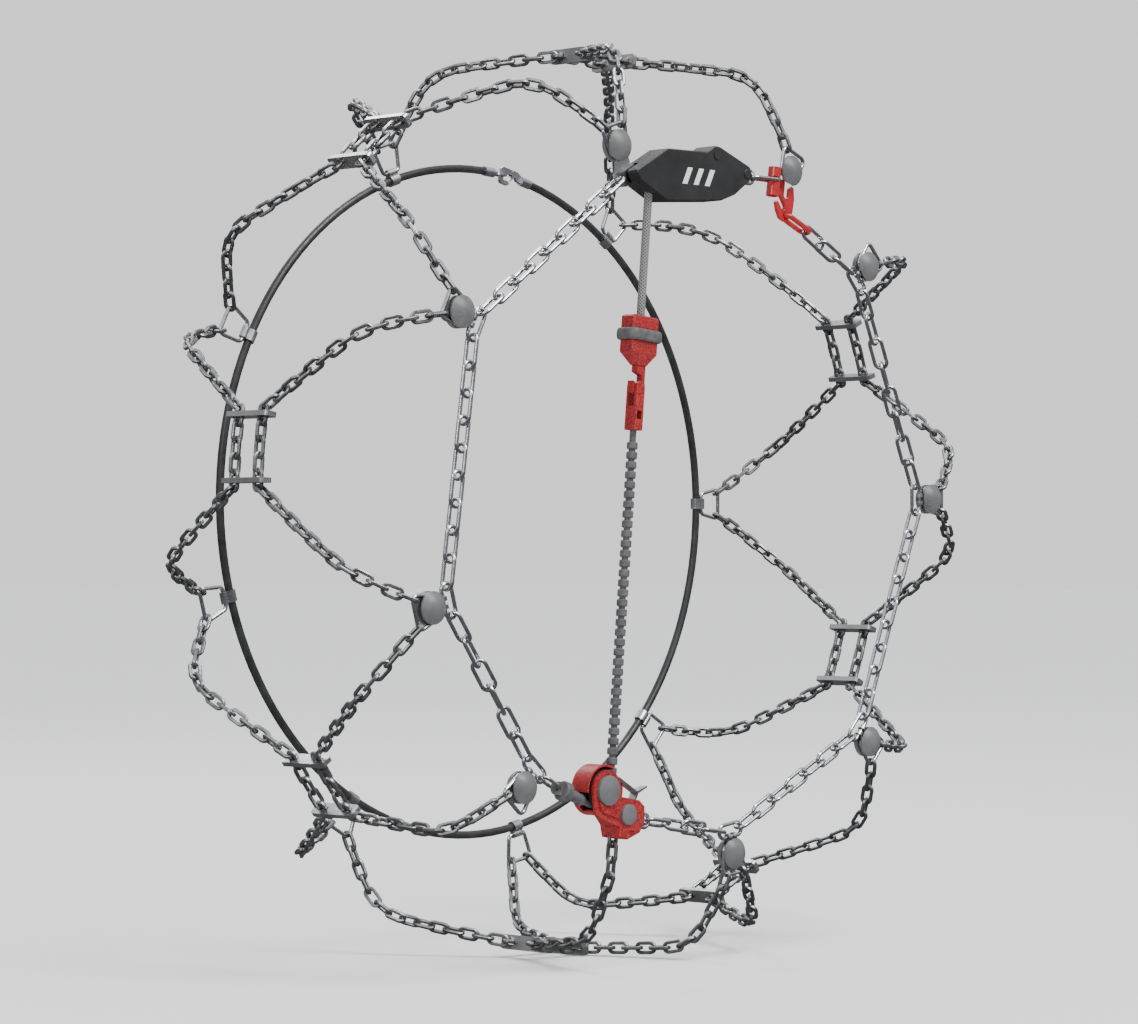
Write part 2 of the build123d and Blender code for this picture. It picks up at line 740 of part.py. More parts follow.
roller = Vector(roller_centre[0], 0, roller_centre[1])
exit_point = Vector(cord_exit[0], 0, cord_exit[1])
reach = (exit_point - roller).length
lean = atan2(exit_point.Z - roller.Z, exit_point.X - roller.X)
touch = lean - acos(strand_turn / reach)
touch_point = Vector(roller.X + strand_turn * cos(touch), -strand_plane, roller.Z + strand_turn * sin(touch))
line_up = (Vector(exit_point.X, -strand_plane, exit_point.Z) - touch_point).normalized()
line_plane = Plane(origin=touch_point, x_dir=Vector(line_up.Z, 0, -line_up.X), z_dir=line_up)
line_length = (Vector(exit_point.X, -strand_plane, exit_point.Z) - touch_point).length
cord_hole = Plane(origin=line_plane.origin, x_dir=line_plane.x_dir, z_dir=line_up).offset(line_length - 6)
anchor_middle = line_length + 14.3

with BuildPart() as plate_base:
    add(plate_block(plate_back, plate_part_line - cover_gap))
    add(plate_room(plate_back + plate_wall, plate_part_line + 1), mode=Mode.SUBTRACT)
    with BuildSketch(front_plane(plate_back)):
        with Locations(*pin_spots):
            Circle(pin_radius + 2.0)
    extrude(amount=plate_wall + 2.0)
    with BuildSketch(front_plane(plate_back)):
        with Locations((-46.0, 269.0)):
            Rectangle(60.0, 10.6)
    extrude(amount=-plate_back - bracket_sheet / 2 - 0.2)
    with BuildSketch(front_plane(plate_back)):
        with Locations(pawl_pivot):
            Circle(1.4)
    extrude(amount=plate_part_line - plate_back)
    with BuildSketch(front_plane(plate_back - 1)):
        with Locations(*pin_spots):
            Circle(pin_radius + 0.05)
    extrude(amount=20, mode=Mode.SUBTRACT)
    with BuildSketch(front_plane(-bracket_sheet / 2 - 0.2)):
        with Locations((-84.0, 269.0)):
            Rectangle(24.0, 17.0)
    extrude(amount=20, mode=Mode.SUBTRACT)
    with BuildSketch(front_plane(-side_wire / 2 - 0.4)):
        with Locations((62.0, 276.5)):
            Rectangle(42.0, side_link_width + 1.4)
    extrude(amount=20, mode=Mode.SUBTRACT)
    with BuildSketch(cord_hole):
        Circle(cord_diameter / 2 + 0.4)
    extrude(amount=16, mode=Mode.SUBTRACT)
plate_base.part.label = "plate_base"
export_step(plate_base.part, "parts/plate_base.step")

with BuildPart() as plate_cover:
    add(plate_block(plate_part_line, plate_front))
    chamfer(plate_cover.faces().sort_by(Axis.Y)[0].edges(), 1.0)
    add(plate_room(plate_part_line - 1, plate_front - plate_wall), mode=Mode.SUBTRACT)
    with BuildSketch(front_plane(plate_part_line + 1.0)):
        with Locations(*pin_spots):
            Circle(pin_radius + 2.0)
    extrude(amount=plate_front - plate_part_line - 2.0)
    with BuildSketch(front_plane(plate_part_line - 1)):
        with Locations(*pin_spots):
            Circle(pin_radius + 0.05)
    extrude(amount=20, mode=Mode.SUBTRACT)
    with BuildSketch(cord_hole):
        Circle(cord_diameter / 2 + 0.4)
    extrude(amount=16, mode=Mode.SUBTRACT)
plate_cover.part.label = "plate_cover"
export_step(plate_cover.part, "parts/plate_cover.step")

with BuildPart() as plate_pins:
    with BuildSketch(front_plane(plate_back)):
        with Locations(*pin_spots):
            Circle(pin_radius)
    extrude(amount=plate_front - plate_back)
    with BuildSketch(front_plane(plate_front)):
        with Locations(*pin_spots):
            Circle(pin_radius + 1.7)
    extrude(amount=0.9)
    chamfer(plate_pins.faces().sort_by(Axis.Y)[0].edges(), 0.4)
plate_pins.part.label = "plate_pins"
export_step(plate_pins.part, "parts/plate_pins.step")

# Pawl on its post and the bent leaf spring that presses it into the teeth
with BuildPart() as plate_pawl:
    with BuildSketch(front_plane(-1.4)):
        with BuildLine():
            Polyline(
                (-10.2, 283.5), (-11.5, 286.6), (-16.0, 287.3), (-31.5, 280.4), (-39.4, 276.6),
                (-38.7, 274.2), (-37.3, 273.3), (-37.3, 276.0), (-29.0, 278.2), (-16.0, 279.9),
                (-11.0, 280.6), (-10.2, 283.5),
            )
        make_face()
        with Locations(pawl_pivot):
            Circle(1.6, mode=Mode.SUBTRACT)
    extrude(amount=2.8)
plate_pawl.part.label = "plate_pawl"
export_step(plate_pawl.part, "parts/plate_pawl.step")

with BuildPart() as pawl_spring:
    with BuildSketch(front_plane(-1.1)):
        with BuildLine() as leaf:
            Polyline((-50.0, 287.0), (-41.0, 288.3), (-35.2, 287.1), (-31.3, 283.4), (-28.6, 282.4))
        trace(leaf.line, line_width=0.6)
    extrude(amount=2.2)
pawl_spring.part.label = "pawl_spring"
export_step(pawl_spring.part, "parts/pawl_spring.step")

# Elastic cord from its ferrule in the plate down into the pull cap
cap_low = 362.0
cap_high = 393.0
cord_low = cap_low + 12.0
cord_high = anchor_middle + 2.8
with BuildPart() as elastic_cord:
    with BuildSketch(line_plane.offset(cord_low)):
        Circle(cord_diameter / 2)
    extrude(amount=cord_high - cord_low)
elastic_cord.part.label = "elastic_cord"
export_step(elastic_cord.part, "parts/elastic_cord.step")

with BuildPart() as cord_ferrule:
    with BuildSketch(line_plane.offset(anchor_middle - 2.5)):
        Circle(cord_diameter / 2 + 1.7)
        Circle(cord_diameter / 2 + 0.02, mode=Mode.SUBTRACT)
    extrude(amount=5.0)
cord_ferrule.part.label = "cord_ferrule"
export_step(cord_ferrule.part, "parts/cord_ferrule.step")

# Pull cap: box, neck and open hook in one moulding
cap_half_width = 15.5
cap_half_depth = 8.0
neck_low = 352.0
pin_height = 334.0
hook_inner = 3.1
hook_outer = 6.9
hook_half_thick = 3.0
hook_side = Plane(origin=line_plane.origin, x_dir=line_plane.x_dir, z_dir=(0, -1, 0))
with BuildPart() as pull_cap:
    with BuildSketch(line_plane.offset(cap_low)):
        Rectangle(2 * cap_half_width, 2 * cap_half_depth)
        fillet(vertices(), 2.5)
    extrude(amount=cap_high - cap_low)
    chamfer(pull_cap.faces().sort_by(Axis.Z)[-1].edges(), 1.5)
    with BuildSketch(line_plane.offset(cap_low)):
        Rectangle(2 * cap_half_width, 2 * cap_half_depth)
        fillet(vertices(), 2.5)
    with BuildSketch(line_plane.offset(neck_low)):
        with Locations((1.0, 0)):
            Rectangle(13.0, 2 * hook_half_thick + 2)
            fillet(vertices(), 1.5)
    loft()
    with BuildSketch(hook_side.offset(-hook_half_thick)):
        with BuildLine():
            Polyline(
                (hook_inner, pin_height), (hook_inner, 344.0), (-3.5, 346.5), (-3.5, neck_low + 1),
                (hook_outer, neck_low + 1), (hook_outer, pin_height),
            )
            CenterArc((0, pin_height), hook_outer, 0, -180)
            Polyline(
                (-hook_outer, pin_height), (-hook_outer - 0.6, 338.5), (-4.6, 338.0),
                (-hook_inner, pin_height),
            )
            CenterArc((0, pin_height), hook_inner, 180, 180)
        make_face()
    extrude(amount=2 * hook_half_thick)
    with BuildSketch(line_plane.offset(cap_low + 2.5)):
        Circle(cord_diameter / 2 + 0.3)
    extrude(amount=cap_high - cap_low, mode=Mode.SUBTRACT)
    with BuildSketch(line_plane.offset(371.5)):
        Rectangle(2 * cap_half_width + 1, 2 * cap_half_depth + 1)
        Rectangle(2 * cap_half_width - 1.4, 2 * cap_half_depth - 1.4, mode=Mode.SUBTRACT)
    extrude(amount=10.6, mode=Mode.SUBTRACT)
pull_cap.part.label = "pull_cap"
export_step(pull_cap.part, "parts/pull_cap.step")

with BuildPart() as grip_band:
    with BuildSketch(line_plane.offset(371.8)):
        Rectangle(2 * cap_half_width + 7, 2 * cap_half_depth + 6)
        fillet(vertices(), 4.5)
        Rectangle(2 * cap_half_width - 1.2, 2 * cap_half_depth - 1.2, mode=Mode.SUBTRACT)
    extrude(amount=10.0)
grip_band.part.label = "grip_band"
export_step(grip_band.part, "parts/grip_band.step")

# Lower connector: two cheeks, a round pin for the hook and a block pressed on the strand end
cheek_gap = 0.4
cheek_thick = 2.2
connector_low = 298.0
connector_high = 318.0
connector_half = hook_half_thick + cheek_gap + cheek_thick
with BuildPart() as lower_connector:
    for low in (-connector_half, connector_half - cheek_thick):
        with BuildSketch(hook_side.offset(low)):
            with Locations((0, pin_height)):
                Circle(5.0)
            with Locations((0, (pin_height + connector_low) / 2)):
                Rectangle(10.0, pin_height - connector_low)
        extrude(amount=cheek_thick)
    with BuildSketch(hook_side.offset(-connector_half)):
        with Locations((0, pin_height)):
            Circle(2.5)
        with Locations((0, (connector_high + connector_low) / 2)):
            Rectangle(10.0, connector_high - connector_low)
    extrude(amount=2 * connector_half)
    with BuildSketch(hook_side.offset(-connector_half - 1)):
        with Locations((0, 310.5)):
            Rectangle(5.0, 7.0)
    extrude(amount=2 * connector_half + 2, mode=Mode.SUBTRACT)
    with BuildSketch(line_plane.offset(connector_low - 1)):
        Circle(bead_neck + 0.05)
    extrude(amount=8.0, mode=Mode.SUBTRACT)
lower_connector.part.label = "lower_connector"
export_step(lower_connector.part, "parts/lower_connector.step")

# Beaded tension strand: straight run, turn round the roller, bellows, buffer and end tab
first_bead = 5.0
bead_count = 35
strand_leave = -111.3
strand_top = connector_low + 6.0
turn_step = bead_pitch / strand_turn
bellows_spots = (17.5, 24.0, 30.5)
bellows_radius = 4.8
buffer_low = 33.6
buffer_high = 41.4
buffer_radius = 8.5
tab_hole = 46.5
tab_hole_radius = 2.9
turn_plane = Plane(origin=(roller.X, -strand_plane, roller.Z), x_dir=(1, 0, 0), z_dir=(0, -1, 0))
leave_out = Vector(cos(radians(strand_leave)), 0, sin(radians(strand_leave)))
tail_way = Vector(leave_out.Z, 0, -leave_out.X)
tail_start = Vector(roller.X, -strand_plane, roller.Z) + leave_out * strand_turn
tail_side = Plane(origin=tail_start, x_dir=leave_out, z_dir=(0, 1, 0))

with BuildPart() as tension_strand:
    outline = [(0, 0), (bead_neck, 0)]
    for index in range(bead_count):
        low = first_bead + bead_pitch * index
        high = low + bead_height
        outline = outline + [(bead_neck, low), (bead_radius - 0.7, low), (bead_radius, low + 0.8)]
        outline = outline + [(bead_radius, high - 0.8), (bead_radius - 0.7, high), (bead_neck, high)]
    outline = outline + [(bead_neck, strand_top), (0, strand_top), (0, 0)]
    with BuildSketch(hook_side):
        with BuildLine():
            Polyline(*outline)
        make_face()
    revolve(axis=Axis(line_plane.origin, line_up))
    with BuildLine(turn_plane) as turn:
        CenterArc((0, 0), strand_turn, strand_leave, degrees(touch) - strand_leave)
    with BuildSketch(Plane(origin=turn.line @ 0, z_dir=turn.line % 0)):
        Circle(bead_neck)
    sweep(path=Wire(turn.line.edges()))
    for index in range(4):
        angle = touch - turn_step * index
        outward = Vector(cos(angle), 0, sin(angle))
        spot = Vector(roller.X, -strand_plane, roller.Z) + outward * strand_turn
        with BuildSketch(Plane(origin=spot, x_dir=outward, z_dir=Vector(-outward.Z, 0, outward.X))):
            Circle(bead_radius)
        extrude(amount=2.2, both=True)
    outline = [(0, 0), (bead_neck, 0)]
    for middle in bellows_spots:
        outline = outline + [(bead_neck, middle - 2.9), (bellows_radius, middle - 1.3)]
        outline = outline + [(bellows_radius, middle + 1.3), (bead_neck, middle + 2.9)]
    outline = outline + [(bead_neck, buffer_low), (buffer_radius - 1.2, buffer_low)]
    outline = outline + [(buffer_radius, buffer_low + 1.2), (buffer_radius, buffer_high - 1.2)]
    outline = outline + [(buffer_radius - 1.2, buffer_high), (0, buffer_high), (0, 0)]
    with BuildSketch(tail_side):
        with BuildLine():
            Polyline(*outline)
        make_face()
    revolve(axis=Axis(tail_start, tail_way))
    with BuildSketch(tail_side.offset(-2.1)):
        with Locations((0, (tab_hole + buffer_low) / 2)):
            Rectangle(9.0, tab_hole - buffer_low)
        with Locations((0, tab_hole)):
            Circle(tab_hole_radius + 2.6)
        with Locations((0, tab_hole)):
            Circle(tab_hole_radius, mode=Mode.SUBTRACT)
    extrude(amount=4.2)
tension_strand.part.label = "tension_strand"
export_step(tension_strand.part, "parts/tension_strand.step")

# Link on edge between connector 7 and the strand tab
strand_hole = tail_start + tail_way * (tab_hole - 0.2)
strand_link_way = (strand_hole - link_arc(7, -1)).normalized()
strand_link_start = link_arc(7, -1) + strand_link_way * (side_bend - side_wire - joint_slack)
with BuildPart() as strand_link_blank:
    loop = link_loop((strand_hole - strand_link_start).length - side_wire, side_wire, side_link_width)
    with BuildSketch(Plane(origin=loop @ 0, x_dir=(0, 1, 0), z_dir=(1, 0, 0))):
        Circle(side_wire / 2)
    sweep(path=Wire(loop.edges()))
with BuildPart() as strand_link:
    with Locations(turned_place(strand_link_start, strand_hole, front_normal, 90)):
        add(strand_link_blank.part)
strand_link.part.label = "strand_link"
export_step(strand_link.part, "parts/strand_link.step")

# Tensioner housing: drum, arm with fork slots for two links, lever slot and moulded roller axle
drum_back = -6.9
cover_low = 11.6
cover_high = 14.2
axle_radius = 3.0
fork_half = 2.2
lever_pivot = (-90.0, -254.5)
lever_pin_radius = 1.3
lever_low = -0.4
lever_high = 7.6
arm_outline = [
    (-124.0, -258.5), (-108.0, -246.5), (-86.0, -250.5), (-80.0, -256.0), (-80.0, -268.0),
    (-86.0, -277.0), (-101.0, -282.0), (-112.0, -280.0), (-114.0, -270.0),
]
tread_way = arm_places("e", -1, -1, 0)[-1].position - flat_point(tread_pin)
tread_way = Vector(tread_way.X, 0, tread_way.Z)
tread_slot = Plane(origin=flat_point(tread_pin), x_dir=tread_way, z_dir=front_normal)
ring_slot = Plane(origin=ring_pin, x_dir=ring_way, z_dir=front_normal)
pin_places = [tread_pin, (ring_pin.X, ring_pin.Z), arm_centre]
strand_depth = strand_plane - chain_plane
strand_gap = bead_radius + 0.9

with BuildPart() as tensioner_body:
    with BuildSketch(front_plane(drum_back)):
        with Locations(roller_centre):
            Circle(drum_radius)
        Polygon(*arm_outline, align=None)
    extrude(amount=cover_low - drum_back)
    with BuildSketch(front_plane(drum_back + drum_wall)):
        with Locations(roller_centre):
            Circle(drum_radius - drum_wall)
    extrude(amount=cover_low - drum_back, mode=Mode.SUBTRACT)
    with BuildSketch(front_plane(drum_back)):
        with Locations(roller_centre):
            Circle(axle_radius)
    extrude(amount=cover_high - drum_back)
    with BuildSketch(front_plane(drum_back)):
        with Locations(roller_centre):
            Circle(axle_radius + 2.0)
    extrude(amount=3.3)
    with BuildSketch(hook_side.offset(-strand_gap)):
        with Locations((0, 18.0)):
            Rectangle(2 * strand_gap, 26.0)
    extrude(amount=strand_gap + cover_low - strand_depth, mode=Mode.SUBTRACT)
    with BuildSketch(tail_side.offset(strand_gap)):
        with Locations((0, 18.0)):
            Rectangle(2 * strand_gap + 1.0, 26.0)
    extrude(amount=-strand_gap - cover_low + strand_depth, mode=Mode.SUBTRACT)
    with BuildSketch(tread_slot.offset(-fork_half)):
        with Locations((12.7, 0)):
            Rectangle(38.0, tread_link_width + 1.4)
    extrude(amount=2 * fork_half, mode=Mode.SUBTRACT)
    with BuildSketch(ring_slot.offset(-fork_half)):
        with Locations((13.0, 0)):
            Rectangle(40.0, side_link_width + 1.4)
    extrude(amount=2 * fork_half, mode=Mode.SUBTRACT)
    with BuildSketch(front_plane(lever_low - 0.5)):
        with Locations((-88.0, -249.0)):
            Rectangle(14.0, 17.0)
    extrude(amount=lever_high - lever_low + 1.0, mode=Mode.SUBTRACT)
    with BuildSketch(front_plane(drum_back - 1)):
        with Locations(*pin_places):
            Circle(tread_pin_radius + 0.05)
    extrude(amount=cover_low - drum_back + 2, mode=Mode.SUBTRACT)
    with BuildSketch(front_plane(lever_low - 3.0)):
        with Locations(lever_pivot):
            Circle(lever_pin_radius + 0.05)
    extrude(amount=cover_low - lever_low + 4, mode=Mode.SUBTRACT)
tensioner_body.part.label = "tensioner_body"
export_step(tensioner_body.part, "parts/tensioner_body.step")

# Tensioner cover with a raised rib, and the three pins it holds in
cover_outline = [
    (-143.5, -244.0), (-141.5, -257.0), (-138.3, -261.5), (-113.6, -270.4), (-113.2, -278.6),
    (-101.8, -280.4), (-100.3, -274.0), (-92.8, -275.7), (-90.9, -268.6), (-86.5, -255.4), (-114.4, -246.0),
]
rib_outline = [
    (-139.2, -246.0), (-137.0, -254.5), (-132.0, -258.5), (-114.0, -264.2), (-113.2, -258.6),
    (-129.3, -253.9), (-134.8, -251.1),
]
with BuildPart() as tensioner_cover:
    with BuildSketch(front_plane(cover_low)):
        with Locations(roller_centre):
            Circle(16.5)
        Polygon(*cover_outline, align=None)
        with Locations(roller_centre):
            Circle(axle_radius + 0.05, mode=Mode.SUBTRACT)
    extrude(amount=cover_high - cover_low)
    with BuildSketch(front_plane(cover_high - 0.5)):
        Polygon(*rib_outline, align=None)
        fillet(vertices(), 1.0)
    extrude(amount=1.9)
tensioner_cover.part.label = "tensioner_cover"
export_step(tensioner_cover.part, "parts/tensioner_cover.step")

with BuildPart() as housing_pins:
    with BuildSketch(front_plane(drum_back)):
        with Locations(*pin_places):
            Circle(tread_pin_radius)
    extrude(amount=cover_low - drum_back)
housing_pins.part.label = "housing_pins"
export_step(housing_pins.part, "parts/housing_pins.step")

# Domed caps over the axle and the arm pin
cap_side = 2.6
with BuildPart() as tensioner_caps:
    for spot, radius in ((roller_centre, 12.25), (arm_centre, 8.5)):
        rise = 0.19 * radius
        bow = (radius ** 2 + rise ** 2) / (2 * rise)
        half = asin(radius / bow) / 2
        edge = cover_high + cap_side
        cap_axis = Axis((spot[0], -chain_plane, spot[1]), (0, -1, 0))
        with BuildSketch(Plane(origin=cap_axis.position, x_dir=(1, 0, 0), z_dir=(0, 0, -1))):
            with BuildLine():
                Polyline((0, edge + rise), (0, cover_high), (radius, cover_high), (radius, edge))
                ThreePointArc(
                    (radius, edge), (bow * sin(half), edge + rise - bow * (1 - cos(half))), (0, edge + rise)
                )
            make_face()
        revolve(axis=cap_axis)
tensioner_caps.part.label = "tensioner_caps"
export_step(tensioner_caps.part, "parts/tensioner_caps.step")

# Grooved roller
with BuildPart() as tensioner_roller:
    with BuildSketch(front_plane(-3.4)):
        with Locations(roller_centre):
            Circle(strand_turn - bead_radius - 0.3)
    extrude(amount=14.0)
    for low in (-3.4, 8.8):
        with BuildSketch(front_plane(low)):
            with Locations(roller_centre):
                Circle(drum_radius - drum_wall - 2.2)
        extrude(amount=1.8)
    with BuildSketch(front_plane(-4)):
        with Locations(roller_centre):
            Circle(axle_radius + 0.25)
    extrude(amount=16, mode=Mode.SUBTRACT)
tensioner_roller.part.label = "tensioner_roller"
export_step(tensioner_roller.part, "parts/tensioner_roller.step")

# Release lever of bent sheet, its pin and its coil spring
lever_sheet = 1.3
lever_eye = lever_pin_radius + 0.25
with BuildPart() as release_lever:
    with BuildSketch(front_plane(lever_low)):
        with BuildLine():
            Polyline(
                (-108.5, -230.7), (-106.9, -230.0), (-84.3, -243.1), (-72.6, -239.2), (-72.2, -240.4),
                (-82.9, -245.0), (-87.9, -254.0), (-89.6, -253.0), (-84.6, -244.7), (-106.6, -231.9),
                (-108.5, -230.7),
            )
        make_face()
        with Locations(lever_pivot):
            Circle(lever_eye + lever_sheet)
        with Locations(lever_pivot):
            Circle(lever_eye, mode=Mode.SUBTRACT)
    extrude(amount=lever_high - lever_low)
    with BuildSketch(front_plane(lever_low + 1.6)):
        with Locations(lever_pivot):
            Circle(lever_eye + lever_sheet + 0.9)
    extrude(amount=lever_high - lever_low - 3.2, mode=Mode.SUBTRACT)
release_lever.part.label = "release_lever"
export_step(release_lever.part, "parts/release_lever.step")

with BuildPart() as lever_pin:
    with BuildSketch(front_plane(lever_low - 3.0)):
        with Locations(lever_pivot):
            Circle(lever_pin_radius)
    extrude(amount=cover_low - lever_low + 3.0)
lever_pin.part.label = "lever_pin"
export_step(lever_pin.part, "parts/lever_pin.step")

spring_wire = 0.7
with BuildPart() as spring_blank:
    with BuildLine() as coil:
        Helix(pitch=1.15, height=3.45, radius=2.1)
    with BuildSketch(Plane(origin=coil.line @ 0, z_dir=coil.line % 0)):
        Circle(spring_wire / 2)
    sweep(path=Wire(coil.line.edges()))
    with BuildSketch(Plane(origin=coil.line @ 0, z_dir=coil.line % 0)):
        Circle(spring_wire / 2)
    extrude(amount=-2.2)
    with BuildSketch(Plane(origin=coil.line @ 1, z_dir=coil.line % 1)):
        Circle(spring_wire / 2)
    extrude(amount=2.2)
with BuildPart() as lever_spring:
    with Locations(front_plane(lever_low + 2.2).location * Pos(*lever_pivot, 0)):
        add(spring_blank.part)
lever_spring.part.label = "lever_spring"
export_step(lever_spring.part, "parts/lever_spring.step")

# Closing fittings of the rear hoop: an eye, a hook and a sprung gate on the hook
ferrule_radius = 4.3
ferrule_half = 6.0
eye_spot = -15.0
eye_inner = 3.8
eye_outer = 6.5
hook_half = 1.5
gate_pivot = (16.5, 3.9)
gate_pin_radius = 1.0
eye_end = node_plane(hoop_start, hoop_radius, 1)
hook_end = node_plane(hoop_start - hoop_gap_angle, hoop_radius, 1)
eye_flat = Plane(origin=eye_end.origin, x_dir=eye_end.x_dir, z_dir=eye_end.y_dir)

with BuildPart() as hoop_eye_end:
    with BuildSketch(Plane(origin=eye_end.origin, z_dir=eye_end.x_dir).offset(-ferrule_half)):
        Circle(ferrule_radius)
    extrude(amount=2 * ferrule_half)
    with BuildSketch(eye_flat.offset(-1.5)):
        with Locations((eye_spot, 0)):
            Circle(eye_outer)
        with Locations((eye_spot / 2 - 0.5, 0)):
            Rectangle(7.0, 6.0)
        with Locations((eye_spot, 0)):
            Circle(eye_inner, mode=Mode.SUBTRACT)
    extrude(amount=3.0)
    with BuildSketch(Plane(origin=eye_end.origin, z_dir=eye_end.x_dir)):
        Circle(hoop_core / 2 + 0.1)
    extrude(amount=ferrule_half + 1, mode=Mode.SUBTRACT)
hoop_eye_end.part.label = "hoop_eye_end"
export_step(hoop_eye_end.part, "parts/hoop_eye_end.step")

with BuildPart() as hoop_hook_end:
    with BuildSketch(Plane(origin=hook_end.origin, z_dir=hook_end.x_dir).offset(-ferrule_half)):
        Circle(ferrule_radius)
    extrude(amount=2 * ferrule_half)
    with BuildSketch(hook_end.offset(-hook_half)):
        with BuildLine():
            Polyline(
                (4.0, -2.4), (11.0, -2.4), (14.5, 1.6), (28.4, 1.6), (28.4, -5.4), (22.0, -5.4),
                (20.5, -6.6), (20.5, -8.2), (22.0, -9.2), (30.0, -9.2), (32.2, -7.0), (32.2, 4.2),
                (30.0, 6.2), (11.0, 6.2), (4.0, 2.4), (4.0, -2.4),
            )
        make_face()
    extrude(amount=2 * hook_half)
    with BuildSketch(hook_end.offset(-3.0)):
        with Locations(gate_pivot):
            Circle(gate_pin_radius)
    extrude(amount=6.0)
    with BuildSketch(Plane(origin=hook_end.origin, z_dir=hook_end.x_dir).offset(-ferrule_half - 1)):
        Circle(hoop_core / 2 + 0.1)
    extrude(amount=ferrule_half + 1, mode=Mode.SUBTRACT)
hoop_hook_end.part.label = "hoop_hook_end"
export_step(hoop_hook_end.part, "parts/hoop_hook_end.step")

with BuildPart() as hoop_gate:
    for low in (-2.6, 1.8):
        with BuildSketch(hook_end.offset(low)):
            Polygon((14.6, 5.2), (14.6, 0.4), (17.0, -1.4), (18.9, -0.8), (18.6, 5.2), align=None)
            with Locations(gate_pivot):
                Circle(2.2)
            with Locations(gate_pivot):
                Circle(gate_pin_radius + 0.25, mode=Mode.SUBTRACT)
        extrude(amount=0.8)
    with BuildSketch(hook_end.offset(-2.6)):
        Polygon((17.0, 1.0), (17.0, -1.4), (20.3, -4.9), (21.3, -4.9), (18.4, 1.0), align=None)
    extrude(amount=5.2)
hoop_gate.part.label = "hoop_gate"
export_step(hoop_gate.part, "parts/hoop_gate.step")
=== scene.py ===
import math

import bmesh
import bpy
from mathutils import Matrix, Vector


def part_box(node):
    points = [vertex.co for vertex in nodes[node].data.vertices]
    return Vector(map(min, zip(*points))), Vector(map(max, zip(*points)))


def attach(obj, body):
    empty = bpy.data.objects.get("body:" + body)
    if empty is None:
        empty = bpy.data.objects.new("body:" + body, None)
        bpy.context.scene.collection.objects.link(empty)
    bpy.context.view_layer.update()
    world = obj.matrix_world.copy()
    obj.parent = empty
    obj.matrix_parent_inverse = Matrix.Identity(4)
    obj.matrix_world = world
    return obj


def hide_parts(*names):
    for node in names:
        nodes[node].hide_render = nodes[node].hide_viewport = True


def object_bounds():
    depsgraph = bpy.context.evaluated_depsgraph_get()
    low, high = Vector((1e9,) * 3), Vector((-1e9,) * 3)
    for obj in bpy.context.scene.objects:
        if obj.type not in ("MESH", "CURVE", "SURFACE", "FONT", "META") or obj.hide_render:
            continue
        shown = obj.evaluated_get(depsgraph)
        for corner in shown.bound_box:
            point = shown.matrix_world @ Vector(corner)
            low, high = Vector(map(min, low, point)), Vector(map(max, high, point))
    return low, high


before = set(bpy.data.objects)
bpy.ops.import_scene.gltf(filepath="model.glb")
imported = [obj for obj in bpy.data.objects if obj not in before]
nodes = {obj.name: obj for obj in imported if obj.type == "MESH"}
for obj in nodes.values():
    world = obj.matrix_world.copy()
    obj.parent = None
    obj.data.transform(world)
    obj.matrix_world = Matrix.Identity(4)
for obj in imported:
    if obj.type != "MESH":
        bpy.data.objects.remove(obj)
cad_low, cad_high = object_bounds()

# Camera: low, in front and to the left, with a long lens so the net keeps its round shape.
lens = bpy.data.cameras.new("camera")
lens.lens = 114.1
lens.sensor_width = 36.0
lens.shift_x = -0.0122
lens.shift_y = -0.0107
lens.clip_end = 200.0
camera = bpy.data.objects.new("camera", lens)
camera.location = (-2.2701, -2.1698, -0.0524)
camera.rotation_euler = (Vector((0, 0, 0)) - camera.location).to_track_quat("-Z", "Y").to_euler()
bpy.context.scene.collection.objects.link(camera)
bpy.context.scene.camera = camera

# Floor: a plain pale sheet just under the lowest link, with no pattern of its own. It isn't mirrored in
# the metal, so the underside of each wire stays dark.
floor_gap = 0.0005
floor_mesh = bpy.data.meshes.new("floor")
shape = bmesh.new()
bmesh.ops.create_circle(shape, cap_ends=True, segments=96, radius=40.0)
bmesh.ops.translate(shape, verts=shape.verts, vec=(0, 0, cad_low[2] - floor_gap))
shape.to_mesh(floor_mesh)
shape.free()
floor = bpy.data.objects.new("floor", floor_mesh)
bpy.context.scene.collection.objects.link(floor)
pale = bpy.data.materials.new("pale_floor")
pale.use_nodes = True
pale.node_tree.nodes["Principled BSDF"].inputs["Base Color"].default_value = (0.88, 0.88, 0.88, 1)
pale.node_tree.nodes["Principled BSDF"].inputs["Roughness"].default_value = 0.65
floor_mesh.materials.append(pale)
floor.visible_glossy = False

# Light: a soft high sun from the front, boxes that show in the metal as long highlights, and a room that
# is bright above and dark toward the ground, so round wire gets a light and a dark side. Looked at
# directly, the room is as pale as the floor, so no horizon cuts the view.
world = bpy.data.worlds.new("room")
world.use_nodes = True
room = world.node_tree
way = room.nodes.new("ShaderNodeTexCoord")
apart = room.nodes.new("ShaderNodeSeparateXYZ")
room.links.new(way.outputs["Generated"], apart.inputs["Vector"])
height = room.nodes.new("ShaderNodeMapRange")
height.interpolation_type = "SMOOTHSTEP"
height.inputs["From Min"].default_value = -0.15
height.inputs["From Max"].default_value = 0.75
height.inputs["To Min"].default_value = 0.13
height.inputs["To Max"].default_value = 0.85
room.links.new(apart.outputs["Z"], height.inputs["Value"])
lit = room.nodes["Background"]
lit.inputs["Color"].default_value = (0.94, 0.96, 1.0, 1)
room.links.new(height.outputs["Result"], lit.inputs["Strength"])
seen = room.nodes.new("ShaderNodeBackground")
seen.inputs["Color"].default_value = (1.13, 1.13, 1.13, 1)
path = room.nodes.new("ShaderNodeLightPath")
either = room.nodes.new("ShaderNodeMixShader")
